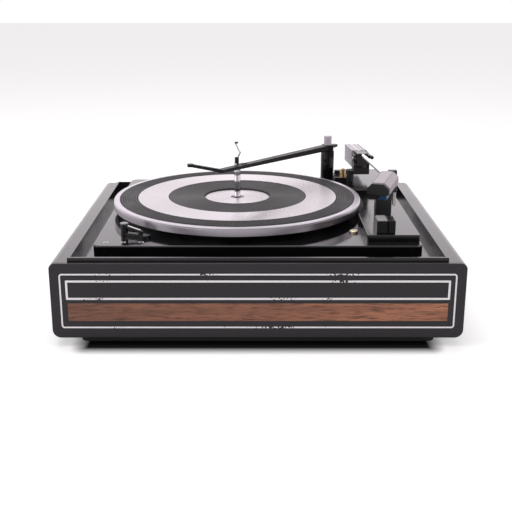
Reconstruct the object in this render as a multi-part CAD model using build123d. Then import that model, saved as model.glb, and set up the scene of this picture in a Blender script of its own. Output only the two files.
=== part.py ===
from build123d import *
import math
import os

# A multi-play record changer in a moulded plinth. Sizes are in millimetres.
# The origin is the middle of the footprint at the height of the feet, +Z is up and -Y is the front.

# Plinth
PLINTH_WIDTH = 394.0
PLINTH_DEPTH = 351.0
PLINTH_BASE = 9.0
PLINTH_TOP = 84.0
WALL = 3.0
TOP_ROUND = 6.0
BOTTOM_ROUND = 8.0
BACK_ROUND = 8.0
FASCIA_THICK = 5.2
TRIM_PROUD = 0.3
TRIM_DEEP = 0.8
SIDE_RIM = 17.0
FRONT_WALL = 4.0
LIP_RISE = 4.0
RECESS_DEEP = 12.0
TRAY_THICK = 3.0
TRAY_CUT_HALF = 140.0
TRAY_CUT_FRONT = -80.0
TRAY_CUT_BACK = 130.0

# Front trim, as heights above the table and margins from the plinth's sides
OUTER_STRIPE_LOW = 19.2
OUTER_STRIPE_HIGH = 74.0
OUTER_STRIPE_MARGIN = 9.2
OUTER_STRIPE_WIDE = 1.5
INNER_STRIPE_LOW = 48.0
INNER_STRIPE_HIGH = 67.4
INNER_STRIPE_MARGIN = 15.0
INNER_STRIPE_WIDE = 2.0
WALNUT_LOW = 26.5
WALNUT_HIGH = 44.3
WALNUT_MARGIN = 16.2

# Base, feet and rear fittings
BASE_THICK = 7.0
BASE_MARGIN = 25.0
BASE_MARGIN_Y = 9.5
FOOT_RADIUS = 11.0
FOOT_X = 150.0
FOOT_Y = 140.0
BASE_SCREW_RADIUS = 2.0
SOCKET_PLATE_X = -100.0
SOCKET_Z = 42.0
GLAND_X = 110.0
GLAND_RADIUS = 6.0

# Deck plate
DECK_HALF = 161.0
DECK_FRONT = -141.0
DECK_BACK = 158.0
DECK_TOP = 91.0
DECK_SHEET = 1.5
DECK_SKIRT = 12.0
DECK_CORNER = 8.0
SPRING_X = 150.0
SPRING_FRONT = -128.0
SPRING_BACK = 145.0
SPRING_RADIUS = 6.0
SPRING_WIRE = 0.8
TRANSIT_SCREWS = [(98.0, -93.0), (-122.0, 146.0)]
TRANSIT_HEAD = 4.5

# Platter
PLATTER_X = -22.5
PLATTER_Y = 2.5
PLATTER_RADIUS = 136.4
RIM_WALL = 3.0
RIM_LOW = 97.5
RIM_TOP = 106.8
WEB_LOW = 103.0
WEB_TOP = 104.6
MAT_OUTER = 130.2
MAT_TOP = 107.2
RING_OUTER = 109.7
RING_INNER = 76.6
RING_TOP = 107.3
INNER_MAT_HOLE = 36.8
INNER_MAT_TOP = 106.9
DISC_RADIUS = 34.8
DISC_TOP = 105.5
GROOVE = 0.5
HUB_RADIUS = 12.0
HUB_LOW = 94.0
POST_RADIUS = 7.05
POST_TOP = 103.5
RUNNING = 0.05

# Spindle
SPINDLE_RADIUS = 3.6
SPINDLE_FOOT = 62.0
SHELF = 143.7
HEAD_RADIUS = 2.4
HEAD_TOP = 150.5
FINGER_RADIUS = 1.6
BLADE_LOW = 136.5
BLADE_HIGH = 142.5
BLADE_THICK = 1.2

# Drive
IDLER_RADIUS = 20.0
IDLER_ANGLE = 140.0
IDLER_GAP = 0.15
IDLER_LOW = 98.4
IDLER_TYRE_HIGH = 2.6
PULLEY_ANGLE = 40.0
PULLEY_STEPS = [(3.24, 98.0, 102.0), (4.37, 94.0, 98.0), (7.58, 88.0, 94.0)]
IDLER_ARM_LONG = 45.0
MOTOR_SHAFT = 1.6
STACK_LOW = 46.0
STACK_HIGH = 68.0
STACK_SIZE = 56.0
CAM_RADIUS = 40.0
CAM_ANGLE = -30.0
CAM_GAP = 0.4
CAM_LOW = 94.2
PINION_TIP = 14.0
TOOTH_DEEP = 1.4

# Side console
CONSOLE_LEFT = 107.0
CONSOLE_RIGHT = 158.5
CONSOLE_FRONT = -134.2
CONSOLE_BACK = 150.0
CONSOLE_TOP = 100.0
CONSOLE_STEP_Y = 33.0
CONSOLE_STEP_TOP = 106.0
CONSOLE_STEP_LEFT = 113.0
PLATTER_ROOM = 3.8

# Levers on the console and the deck
FUNCTION_X = 121.9
FUNCTION_WIDE = 10.6
SIZE_X = 131.2
SIZE_WIDE = 7.2
LEVER_FRONT = -130.0
LEVER_LONG = 21.0
LEVER_TOP = 113.7
LEVER_TRAVEL = 12.0
SPEED_PIVOT = (-113.0, -112.0)
SPEED_KNOB = (-134.6, -103.0)
SPEED_FOOT = (-117.5, -110.2)

# Arm rest
REST_X = 130.5
REST_Y = -66.0
REST_WIDE = 16.6
REST_LONG = 12.0
REST_SHOULDER = 133.0
CLIP_PIVOT_Z = 130.0
CLIP_FOOT = 113.0
CLIP_THICK = 3.0
CLIP_WIDE = 6.0
CLIP_PIN = 0.8
CLIP_LIFT = 1.0
CLIP_X = REST_X + REST_WIDE / 2 + 1.6

# Overarm
OVERARM_X = 89.0
OVERARM_Y = 147.0
OVERARM_POST = 8.3
OVERARM_POST_TOP = 129.7
OVERARM_ROD = 4.0
OVERARM_BEND = (-38.8, -35.6, 142.9)
OVERARM_TIP = (-70.2, -53.4, 152.5)
OVERARM_HIGH = 134.5
OVERARM_TAIL = 20.0
CAP_RADIUS = 4.8
CAP_TOP = 149.4

# Small pillars beside the tonearm
CUE_AT = (99.5, 121.0)
CUE_TOP = 111.0
COLLAR_AT = (105.5, 110.0)

# Tonearm, in its own frame: x' runs to the head, z' is up and the origin is the tilt axis
ARM_X = 124.0
ARM_Y = 86.0
ARM_Z = 131.5
ARM_HEADING = -87.4
ARM_RISE = 2.9
TUBE_RADIUS = 2.3
TUBE_UP = 6.0
PILLAR = (112.5, 92.0)
PILLAR_RADIUS = 4.6
YOKE_LOW = -17.0
YOKE_FLOOR = 8.0
EAR_GAP = 7.8
EAR_THICK = 1.6
HOUSING_HALF = 6.4
REAR_ROD = 3.0
WEIGHT_BACK = -73.0
WEIGHT_FRONT = -14.0
WEIGHT_WIDE = 17.6
WEIGHT_RIBS = (-7.6, -3.6, 3.6, 7.6)
HEAD_TURN = -26.0
HEAD_DIP = 12.0
HEAD_START = 165.0
HEAD_LONG = 33.0
HEAD_FRONT = 4.0
HEAD_HALF = 11.2
HEAD_RIDGE = 6.0
HEAD_SHOULDER = -0.5
HEAD_TOP_UP = 4.6
HEAD_SKIN = 1.3

FACE_Y = -PLINTH_DEPTH / 2 + TRIM_PROUD
TRIM_Y = -PLINTH_DEPTH / 2
SHELL_FRONT = FACE_Y + FASCIA_THICK
SHELL_BACK = PLINTH_DEPTH / 2
HALF_WIDTH = PLINTH_WIDTH / 2
RECESS_HALF = HALF_WIDTH - SIDE_RIM
RECESS_FRONT = SHELL_FRONT + FRONT_WALL
RECESS_BACK = SHELL_BACK - WALL
TRAY_TOP = PLINTH_TOP - RECESS_DEEP
TRAY_LOW = TRAY_TOP - TRAY_THICK
BASE_HALF = HALF_WIDTH - BASE_MARGIN
BASE_HALF_Y = PLINTH_DEPTH / 2 - BASE_MARGIN_Y
PLATE_UNDER = DECK_TOP - DECK_SHEET
PLATTER = (PLATTER_X, PLATTER_Y)


def block(x, y, z, upright=0.0, top=0.0):
    """A box from three ranges, with rounded upright edges and a rounded top."""
    size = [high - low for low, high in (x, y, z)]
    middle = [(high + low) / 2 for low, high in (x, y, z)]
    solid = Pos(*middle) * Box(*size)
    if upright:
        solid = fillet(solid.edges().filter_by(Axis.Z), upright)
    if top:
        solid = fillet(solid.faces().sort_by(Axis.Z)[-1].edges(), top)
    return solid


def rod(radius, low, high, at=(0.0, 0.0), hole=0.0):
    """An upright cylinder between two heights, with an optional bore."""
    middle = Pos(at[0], at[1], (low + high) / 2)
    solid = middle * Cylinder(radius, high - low)
    if hole:
        solid -= middle * Cylinder(hole, high - low)
    return solid


def turned(points, at=PLATTER):
    """A body turned about an upright axis from its outline as (radius, height) points."""
    outline = Plane.XZ * make_face(Polyline(*points, close=True))
    return Pos(at[0], at[1], 0) * revolve(outline, Axis.Z)


def beside(at, distance, angle):
    """The point at a distance and a heading from another."""
    turn = math.radians(angle)
    return (at[0] + distance * math.cos(turn), at[1] + distance * math.sin(turn))


def bar(start, end, start_size, end_size):
    """A tapered bar between two points; each size is its width and its thickness."""
    along = Vector(*end) - Vector(*start)
    across = Vector(0, 0, 1).cross(along)
    first = Plane(origin=start, x_dir=across, z_dir=along) * Rectangle(*start_size)
    last = Plane(origin=end, x_dir=across, z_dir=along) * Rectangle(*end_size)
    return loft([first, last])


def save(name, *solids):
    """Writes one node; several solids are kept apart as a group."""
    shape = solids[0] if len(solids) == 1 else Compound(children=[s.solid() for s in solids])
    export_step(shape, f"parts/{name}.step")


def rounded_profile(half, low, high, front, back, top_round, bottom_round):
    """The plinth's outline, rounded along its four long edges."""
    solid = block((-half, half), (front, back), (low, high))
    long_edges = solid.edges().filter_by(Axis.Y).group_by(Axis.Z)
    solid = fillet(long_edges[-1], top_round)
    long_edges = solid.edges().filter_by(Axis.Y).group_by(Axis.Z)
    return fillet(long_edges[0], bottom_round)


# Plinth shell: a thin moulding with broad rims, a sunk tray and a lip along the tray's front
def plinth_shell():
    shell = rounded_profile(
        HALF_WIDTH, PLINTH_BASE, PLINTH_TOP, SHELL_FRONT, SHELL_BACK, TOP_ROUND, BOTTOM_ROUND,
    )
    back_edges = shell.edges().filter_by(Axis.Z).group_by(Axis.Y)[-1]
    shell = fillet(back_edges, BACK_ROUND)
    room = rounded_profile(
        HALF_WIDTH - WALL, PLINTH_BASE + WALL, PLINTH_TOP - WALL,
        SHELL_FRONT + WALL, SHELL_BACK - WALL, TOP_ROUND - WALL, BOTTOM_ROUND - WALL,
    )
    room = fillet(room.edges().filter_by(Axis.Z).group_by(Axis.Y)[-1], BACK_ROUND - WALL)
    shell -= room
    opening_half = BASE_HALF - 3.0
    opening_y = BASE_HALF_Y - 3.0
    floor = (PLINTH_BASE, PLINTH_BASE + WALL)
    shell -= block((-opening_half, opening_half), (-opening_y, opening_y), floor, 4.0)
    tray_half = RECESS_HALF + WALL
    shell += block((-tray_half, tray_half), (SHELL_FRONT + 1.0, SHELL_BACK - 1.0), (TRAY_LOW, PLINTH_TOP))
    lip_top = PLINTH_TOP + LIP_RISE
    shell += block((-RECESS_HALF, RECESS_HALF), (SHELL_FRONT, RECESS_FRONT), (PLINTH_TOP, lip_top), 0, 0.8)
    shell -= block((-RECESS_HALF, RECESS_HALF), (RECESS_FRONT, RECESS_BACK), (TRAY_TOP, lip_top))
    tray_cut_y = (TRAY_CUT_FRONT, TRAY_CUT_BACK)
    shell -= block((-TRAY_CUT_HALF, TRAY_CUT_HALF), tray_cut_y, (TRAY_LOW, TRAY_TOP), 10.0)
    for at in TRANSIT_SCREWS:
        shell -= rod(4.0, TRAY_LOW, TRAY_TOP, at)
    shell -= block(
        (SOCKET_PLATE_X - 18, SOCKET_PLATE_X + 18), (RECESS_BACK, SHELL_BACK), (SOCKET_Z - 9, SOCKET_Z + 9),
    )
    shell -= Pos(GLAND_X, SHELL_BACK, SOCKET_Z) * Rot(90, 0, 0) * Cylinder(GLAND_RADIUS, 4 * WALL)
    return shell


def stripe(low, high, margin, wide, corner, front=TRIM_Y, back=FACE_Y + TRIM_DEEP):
    """A rectangular ring that lies in the fascia's front."""
    half = HALF_WIDTH - margin
    ring = RectangleRounded(2 * half, high - low, corner)
    inside = (2 * (half - wide), high - low - 2 * wide)
    ring -= RectangleRounded(*inside, corner - wide) if corner > wide else Rectangle(*inside)
    placed = Plane(origin=(0, front, (low + high) / 2), x_dir=(1, 0, 0), z_dir=(0, -1, 0)) * ring
    return extrude(placed, -(back - front))


OUTER_STRIPE = (OUTER_STRIPE_LOW, OUTER_STRIPE_HIGH, OUTER_STRIPE_MARGIN, OUTER_STRIPE_WIDE, 3.0)
INNER_STRIPE = (INNER_STRIPE_LOW, INNER_STRIPE_HIGH, INNER_STRIPE_MARGIN, INNER_STRIPE_WIDE, 0.8)
INSERT_MARGIN = INNER_STRIPE_MARGIN + INNER_STRIPE_WIDE
INSERT = (INSERT_MARGIN, INNER_STRIPE_LOW + INNER_STRIPE_WIDE, INNER_STRIPE_HIGH - INNER_STRIPE_WIDE)
WALNUT = (WALNUT_MARGIN, WALNUT_LOW, WALNUT_HIGH)


def inset(margin, low, high, front):
    """A flat strip that fills a shallow pocket in the fascia."""
    half = HALF_WIDTH - margin
    return block((-half, half), (front, FACE_Y + TRIM_DEEP), (low, high))


def front_fascia():
    fascia = rounded_profile(
        HALF_WIDTH, PLINTH_BASE, PLINTH_TOP, FACE_Y, SHELL_FRONT, TOP_ROUND, BOTTOM_ROUND,
    )
    rim = fascia.faces().sort_by(Axis.Y)[0].edges()
    fascia = fillet(rim, 0.9)
    fascia -= stripe(*OUTER_STRIPE)
    fascia -= stripe(*INNER_STRIPE)
    fascia -= inset(*WALNUT, TRIM_Y)
    return fascia - inset(*INSERT, TRIM_Y)


def plinth():
    save("plinth_shell", plinth_shell())
    save("front_fascia", front_fascia())
    save("outer_pinstripe", stripe(*OUTER_STRIPE))
    save("inner_pinstripe", stripe(*INNER_STRIPE))
    save("panel_insert", inset(*INSERT, FACE_Y))
    save("walnut_strip", inset(*WALNUT, FACE_Y))


def base_and_feet():
    corners = [(sx * FOOT_X, sy * FOOT_Y) for sx in (-1, 1) for sy in (-1, 1)]
    board_z = (PLINTH_BASE - BASE_THICK, PLINTH_BASE)
    board = block((-BASE_HALF, BASE_HALF), (-BASE_HALF_Y, BASE_HALF_Y), board_z, 7.0)
    screw_places = [(sx * (BASE_HALF - 5.0), y) for sx in (-1, 1) for y in (-110.0, 0.0, 110.0)]
    for at in screw_places:
        board -= rod(BASE_SCREW_RADIUS, PLINTH_BASE - BASE_THICK, PLINTH_BASE, at)
    screws = []
    for x, y in screw_places:
        head_low = PLINTH_BASE - BASE_THICK - 1.6
        screw = rod(3.6, head_low, head_low + 1.6, (x, y))
        screw += rod(BASE_SCREW_RADIUS, head_low + 1.6, PLINTH_BASE, (x, y))
        slot = block((x - 3.6, x + 3.6), (y - 0.5, y + 0.5), (head_low, head_low + 0.8))
        screws.append(screw - slot)
    feet = []
    for at in corners:
        foot = rod(FOOT_RADIUS, 0.0, PLINTH_BASE - BASE_THICK, at)
        feet.append(fillet(foot.faces().sort_by(Axis.Z)[0].edges(), 1.0))
    save("base_board", board)
    save("base_screws", *screws)
    save("feet", *feet)


def rearward(radius, start, end, x):
    """A round bar that runs from the front to the back at the height of the rear fittings."""
    return Pos(x, (start + end) / 2, SOCKET_Z) * Rot(90, 0, 0) * Cylinder(radius, end - start)


def rear_fittings():
    plate_x = (SOCKET_PLATE_X - 21, SOCKET_PLATE_X + 21)
    plate = block(plate_x, (RECESS_BACK - 1.5, RECESS_BACK), (SOCKET_Z - 12, SOCKET_Z + 12))
    sockets = []
    for x in (SOCKET_PLATE_X - 8.0, SOCKET_PLATE_X + 8.0):
        plate -= rearward(3.0, RECESS_BACK - 2, RECESS_BACK, x)
        socket = rearward(3.0, RECESS_BACK - 1.5, RECESS_BACK, x)
        socket += rearward(4.2, RECESS_BACK, RECESS_BACK + 2.6, x)
        sockets.append(socket - rearward(1.6, RECESS_BACK, RECESS_BACK + 2.6, x))
    gland = rearward(GLAND_RADIUS, SHELL_BACK - 2 * WALL, SHELL_BACK, GLAND_X)
    gland += rearward(GLAND_RADIUS + 2, SHELL_BACK - WALL - 2, SHELL_BACK - WALL, GLAND_X)
    gland -= rearward(3.0, SHELL_BACK - 3 * WALL, SHELL_BACK, GLAND_X)
    save("rear_socket_plate", plate)
    save("signal_sockets", *sockets)
    save("mains_gland", gland)


def spring(at, low, high, radius, wire, turns):
    """A compression spring: one unbroken helical wire, ground flat at both ends."""
    pitch = (high - low - 2 * wire) / turns
    path = Helix(pitch, pitch * turns, radius, center=(at[0], at[1], low + wire))
    start = path @ 0
    section = Plane(origin=start, z_dir=path % 0) * Circle(wire)
    gap = pitch - 2 * wire
    return sweep(section, path), gap


def deck_springs():
    springs = []
    for at in [(sx * SPRING_X, y) for sx in (-1, 1) for y in (SPRING_FRONT, SPRING_BACK)]:
        coil, gap = spring(at, TRAY_TOP, PLATE_UNDER, SPRING_RADIUS, SPRING_WIRE, 4.0)
        springs.append(coil)
    print("deck spring gap between turns, mm:", round(gap, 2))
    save("deck_springs", *springs)


IDLER = beside(PLATTER, PLATTER_RADIUS - RIM_WALL - IDLER_RADIUS - IDLER_GAP, IDLER_ANGLE)
MOTOR = beside(IDLER, IDLER_RADIUS + PULLEY_STEPS[0][0] + IDLER_GAP, PULLEY_ANGLE)
IDLER_PIVOT = (IDLER[0] + IDLER_ARM_LONG, IDLER[1])
CAM = beside(PLATTER, PINION_TIP + CAM_RADIUS + CAM_GAP, CAM_ANGLE)


def mainplate():
    skirt_low = DECK_TOP - DECK_SKIRT
    plate = block((-DECK_HALF, DECK_HALF), (DECK_FRONT, DECK_BACK), (skirt_low, DECK_TOP), DECK_CORNER, 1.4)
    plate -= block(
        (-DECK_HALF + DECK_SHEET, DECK_HALF - DECK_SHEET),
        (DECK_FRONT + DECK_SHEET, DECK_BACK - DECK_SHEET),
        (skirt_low, PLATE_UNDER), DECK_CORNER - DECK_SHEET,
    )
    plate -= rod(POST_RADIUS, PLATE_UNDER, DECK_TOP, PLATTER)
    plate -= rod(PULLEY_STEPS[-1][0] + 2.5, PLATE_UNDER, DECK_TOP, MOTOR)
    for at in TRANSIT_SCREWS:
        plate -= rod(2.0, PLATE_UNDER, DECK_TOP, at)
    for x in (FUNCTION_X, SIZE_X):
        plate -= lever_slot(x, PLATE_UNDER, DECK_TOP)
    plate -= rod(3.1, PLATE_UNDER, DECK_TOP, SPEED_PIVOT)
    return plate


def lever_slot(x, low, high):
    """The slot that a lever's stem slides in, with room at both ends of its travel."""
    middle = LEVER_FRONT + LEVER_LONG / 2
    return block((x - 1.8, x + 1.8), (middle - 4.5, middle + 4.5 + LEVER_TRAVEL), (low, high))


def transit_screws():
    screws = []
    for at in TRANSIT_SCREWS:
        screw = rod(TRANSIT_HEAD, DECK_TOP, DECK_TOP + 2.2, at)
        screw = fillet(screw.faces().sort_by(Axis.Z)[-1].edges(), 0.7)
        slot = block((at[0] - 5, at[0] + 5), (at[1] - 0.6, at[1] + 0.6), (DECK_TOP + 1.2, DECK_TOP + 2.2))
        screw += rod(2.0, TRAY_LOW - 6.0, DECK_TOP, at)
        screws.append(screw - slot)
    return screws


def deck():
    save("mainplate", mainplate())
    save("transit_screws", *transit_screws())
    post = rod(POST_RADIUS, 80.0, POST_TOP, PLATTER, SPINDLE_RADIUS + RUNNING)
    post += rod(16.0, DECK_TOP, DECK_TOP + 1.5, PLATTER, POST_RADIUS)
    save("bearing_post", post)
    washer = rod(HUB_RADIUS, DECK_TOP + 1.5, HUB_LOW - RUNNING, PLATTER, POST_RADIUS + RUNNING)
    save("thrust_washer", washer)


def motor():
    low_x = MOTOR[0] - STACK_SIZE / 2
    low_y = MOTOR[1] - 20.0
    stack = block((low_x, low_x + STACK_SIZE), (low_y, low_y + 40.0), (STACK_LOW, STACK_HIGH), 3.0)
    stack -= rod(6.0, STACK_LOW, STACK_HIGH, MOTOR)
    coil_z = (STACK_LOW - 5.0, STACK_HIGH + 5.0)
    coil = block((low_x - 11.0, low_x), (low_y + 4.0, low_y + 36.0), coil_z, 3.0, 2.0)
    cover = rod(14.0, STACK_HIGH, STACK_HIGH + 5.0, MOTOR, MOTOR_SHAFT + RUNNING)
    lower = rod(14.0, STACK_LOW - 5.0, STACK_LOW, MOTOR, MOTOR_SHAFT + RUNNING)
    mounts = []
    for dx, dy in ((-21.0, -13.0), (21.0, -13.0), (21.0, 13.0), (-21.0, 13.0)):
        at = (MOTOR[0] + dx, MOTOR[1] + dy)
        mount = rod(5.0, STACK_HIGH, PLATE_UNDER, at)
        waist = turned([(6.0, 75.0), (6.0, 82.0), (3.8, 80.5), (3.8, 76.5)], at)
        mounts.append(mount - waist)
    save("motor_stack", stack, cover, lower)
    save("motor_coil", coil)
    save("motor_mounts", *mounts)
    pulley = rod(MOTOR_SHAFT, STACK_LOW - 3.0, PULLEY_STEPS[0][2], MOTOR)
    for radius, low, high in PULLEY_STEPS:
        pulley += rod(radius, low, high, MOTOR)
    save("motor_pulley", pulley)


def idler():
    arm_low = IDLER_LOW - 4.9
    arm_high = IDLER_LOW - 3.4
    link = block((IDLER[0], IDLER_PIVOT[0]), (IDLER[1] - 5.0, IDLER[1] + 5.0), (arm_low, arm_high))
    link += rod(6.5, arm_low, arm_high, IDLER)
    link += rod(6.5, arm_low, arm_high, IDLER_PIVOT)
    link -= rod(3.0 + RUNNING, arm_low, arm_high, IDLER_PIVOT)
    link += rod(1.5, arm_low, IDLER_LOW + IDLER_TYRE_HIGH + 0.9, IDLER)
    link += rod(3.0, arm_high, IDLER_LOW - 0.5, IDLER)
    save("idler_arm", link)
    wheel = rod(IDLER_RADIUS - 3.0, IDLER_LOW, IDLER_LOW + IDLER_TYRE_HIGH, IDLER, 1.5 + RUNNING)
    wheel += rod(4.0, IDLER_LOW - 0.2, IDLER_LOW, IDLER, 1.5 + RUNNING)
    save("idler_wheel", wheel)
    save("idler_tyre", rod(IDLER_RADIUS, IDLER_LOW, IDLER_LOW + IDLER_TYRE_HIGH, IDLER, IDLER_RADIUS - 3.0))


def toothed(at, tip, low, high, bore, teeth, missing=()):
    """A gear with plain tapered teeth, drawn as one outline; the missing teeth leave its gap."""
    root = tip - TOOTH_DEEP
    pitch = 360.0 / teeth
    points = []
    for number in range(teeth):
        middle = pitch * number
        points.append(beside((0, 0), root, middle - pitch * 0.30))
        if number not in missing:
            points.append(beside((0, 0), tip, middle - pitch * 0.14))
            points.append(beside((0, 0), tip, middle + pitch * 0.14))
        points.append(beside((0, 0), root, middle + pitch * 0.30))
    outline = make_face(Polyline(*points, close=True)) - Circle(bore)
    return Pos(at[0], at[1], low) * extrude(outline, high - low)


def cycle_gears():
    pinion = toothed(PLATTER, PINION_TIP, HUB_LOW + 1.5, HUB_LOW + 5.5, HUB_RADIUS, 28)
    save("hub_pinion", pinion)
    gear_low = CAM_LOW
    gear = toothed(CAM, CAM_RADIUS, gear_low, gear_low + 4.0, 3.0 + RUNNING, 80, (32, 33, 34))
    gear += rod(28.0, gear_low + 4.0, gear_low + 6.5, CAM, 25.0)
    gear += rod(14.0, gear_low + 4.0, gear_low + 6.5, (CAM[0] + 6.0, CAM[1]), 11.5)
    for turn in range(0, 360, 60):
        hole_at = beside(CAM, 33.0, turn)
        gear -= rod(3.0, gear_low, gear_low + 4.0, hole_at)
    save("cam_gear", gear)


def plate_studs():
    """The studs that the cam gear and the idler arm turn on."""
    studs = []
    for at, seat in ((CAM, CAM_LOW), (IDLER_PIVOT, IDLER_LOW - 4.9)):
        stud = rod(3.0, DECK_TOP, seat + 3.2, at)
        stud += rod(5.5, DECK_TOP, seat - 0.3, at)
        studs.append(stud)
    save("plate_studs", *studs)


def mat_ring(inner, outer, top, grooves):
    """A flat ring on the platter's web, with round grooves cut in its top."""
    points = [(inner, WEB_TOP), (outer, WEB_TOP), (outer, top)]
    step = (outer - inner) / (grooves + 1)
    for number in range(1, grooves + 1):
        middle = outer - step * number
        points += [(middle + GROOVE, top), (middle, top - GROOVE), (middle - GROOVE, top)]
    points.append((inner, top))
    return turned(points)


def platter():
    rim_inner = PLATTER_RADIUS - RIM_WALL
    outline = [
        (HUB_RADIUS, WEB_LOW), (rim_inner, WEB_LOW), (rim_inner, RIM_LOW), (PLATTER_RADIUS - 0.6, RIM_LOW),
        (PLATTER_RADIUS, RIM_LOW + 0.6), (PLATTER_RADIUS, RIM_TOP - 2.4),
        (PLATTER_RADIUS - 0.5, RIM_TOP - 2.0), (PLATTER_RADIUS - 0.5, RIM_TOP - 1.4),
        (PLATTER_RADIUS, RIM_TOP - 1.0), (PLATTER_RADIUS - 0.9, RIM_TOP),
        (MAT_OUTER, RIM_TOP), (MAT_OUTER, WEB_TOP), (POST_RADIUS + RUNNING, WEB_TOP),
        (POST_RADIUS + RUNNING, HUB_LOW), (HUB_RADIUS, HUB_LOW),
    ]
    save("platter", turned(outline))
    save("outer_mat_ring", mat_ring(RING_OUTER, MAT_OUTER, MAT_TOP, 7))
    save("aluminium_ring", mat_ring(RING_INNER, RING_OUTER, RING_TOP, 1))
    save("inner_mat_ring", mat_ring(INNER_MAT_HOLE, RING_INNER, INNER_MAT_TOP, 14))
    save("centre_disc", mat_ring(POST_RADIUS + 0.25, DISC_RADIUS, DISC_TOP, 0))


def spindle():
    x, y = PLATTER
    shaft = rod(SPINDLE_RADIUS, SPINDLE_FOOT, SHELF, PLATTER)
    shaft -= block((x - 5, x + 5), (y - 0.7, y + 0.7), (BLADE_LOW - 0.1, BLADE_HIGH + 0.1))
    save("spindle_shaft", shaft)
    blade = block((x - 3.2, x + 3.2), (y - BLADE_THICK / 2, y + BLADE_THICK / 2), (BLADE_LOW, BLADE_HIGH))
    save("drop_blade", blade)
    head_x = x - 0.4
    head = rod(HEAD_RADIUS, SHELF, HEAD_TOP, (head_x, y))
    head = fillet(head.faces().sort_by(Axis.Z)[-1].edges(), 0.6)
    low = (x + 0.3, y, HEAD_TOP)
    elbow = (x + 3.0, y, HEAD_TOP + 5.9)
    top = (x - 0.7, y, HEAD_TOP + 15.0)
    finger = round_bar(low, elbow, FINGER_RADIUS) + round_bar(elbow, top, FINGER_RADIUS)
    finger += Pos(*elbow) * Sphere(FINGER_RADIUS)
    finger -= rod(8.0, HEAD_TOP - 4.0, HEAD_TOP, PLATTER)
    save("spindle_finger", finger)
    cap = rod(2.1, HEAD_TOP + 15.2, HEAD_TOP + 16.8, (x - 0.7, y))
    cap += rod(1.4, HEAD_TOP + 14.6, HEAD_TOP + 15.2, (x - 0.7, y))
    save("spindle_head", head, cap - finger)


def round_bar(start, end, radius):
    """A straight round bar between two points."""
    along = Vector(*end) - Vector(*start)
    return extrude(Plane(origin=start, z_dir=along) * Circle(radius), along.length)


def side_console():
    console = block(
        (CONSOLE_LEFT, CONSOLE_RIGHT), (CONSOLE_FRONT, CONSOLE_BACK), (DECK_TOP, CONSOLE_TOP), 2.0, 0.8,
    )
    raised_y = (CONSOLE_STEP_Y, CONSOLE_BACK)
    console += block((CONSOLE_STEP_LEFT, CONSOLE_RIGHT), raised_y, (DECK_TOP, CONSOLE_STEP_TOP), 2.0, 0.8)
    console -= rod(PLATTER_RADIUS + PLATTER_ROOM, DECK_TOP, CONSOLE_STEP_TOP, PLATTER)
    for x in (FUNCTION_X, SIZE_X):
        console -= lever_slot(x, DECK_TOP, CONSOLE_TOP)
    return console - rod(PILLAR_RADIUS, CONSOLE_TOP, CONSOLE_STEP_TOP, PILLAR)


def slide_lever(x, wide, top):
    """A lever block that slides along a slot, with its stem below the deck."""
    low = CONSOLE_TOP + 0.3
    along = (LEVER_FRONT, LEVER_FRONT + LEVER_LONG)
    knob = block((x - wide / 2, x + wide / 2), along, (low, top), 1.0, 0.8)
    middle = LEVER_FRONT + LEVER_LONG / 2
    knob += block((x - 1.4, x + 1.4), (middle - 4.0, middle + 4.0), (PLATE_UNDER - 8.0, low))
    return knob


def levers():
    function = slide_lever(FUNCTION_X, FUNCTION_WIDE, LEVER_TOP - 1.0)
    save("function_lever", function)
    plate_x = (FUNCTION_X - FUNCTION_WIDE / 2 + 0.8, FUNCTION_X + FUNCTION_WIDE / 2 - 0.8)
    plate_y = (LEVER_FRONT + 0.8, LEVER_FRONT + LEVER_LONG - 0.8)
    save("function_plate", block(plate_x, plate_y, (LEVER_TOP - 1.0, LEVER_TOP), 0.8, 0.3))
    dot_at = (SIZE_X - 1.6, LEVER_FRONT + 13.0)
    dot = rod(1.6, LEVER_TOP - 0.6, LEVER_TOP + 0.4, dot_at)
    dot = fillet(dot.faces().sort_by(Axis.Z)[-1].edges(), 0.5)
    save("size_lever", slide_lever(SIZE_X, SIZE_WIDE, LEVER_TOP - 0.6) + dot)


def speed_lever():
    hub = rod(6.0, DECK_TOP + 0.3, DECK_TOP + 3.3, SPEED_PIVOT)
    hub += rod(3.0, PLATE_UNDER - 5.0, DECK_TOP + 0.3, SPEED_PIVOT)
    start = (SPEED_PIVOT[0], SPEED_PIVOT[1], DECK_TOP + 1.8)
    end = (SPEED_KNOB[0], SPEED_KNOB[1], DECK_TOP + 1.8)
    arm = bar(start, end, (7.0, 3.0), (5.0, 3.0))
    strut = rod(2.5, DECK_TOP + 3.0, DECK_TOP + 6.5, SPEED_FOOT)
    strut += bar((*SPEED_FOOT, DECK_TOP + 6.0), (*SPEED_KNOB, DECK_TOP + 9.9), (4.0, 2.0), (4.0, 2.0))
    knob = rod(3.6, DECK_TOP + 0.3, DECK_TOP + 11.6, SPEED_KNOB)
    cap = rod(4.2, DECK_TOP + 11.6, DECK_TOP + 13.0, SPEED_KNOB)
    cap = fillet(cap.faces().sort_by(Axis.Z)[-1].edges(), 0.6)
    save("speed_lever", hub + arm + strut + knob + cap)
    line = bar((*SPEED_FOOT, DECK_TOP + 7.35), (*SPEED_KNOB, DECK_TOP + 11.25), (1.6, 0.6), (1.6, 0.6))
    save("speed_pointer", line - rod(4.3, DECK_TOP, DECK_TOP + 14.0, SPEED_KNOB))


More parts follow.
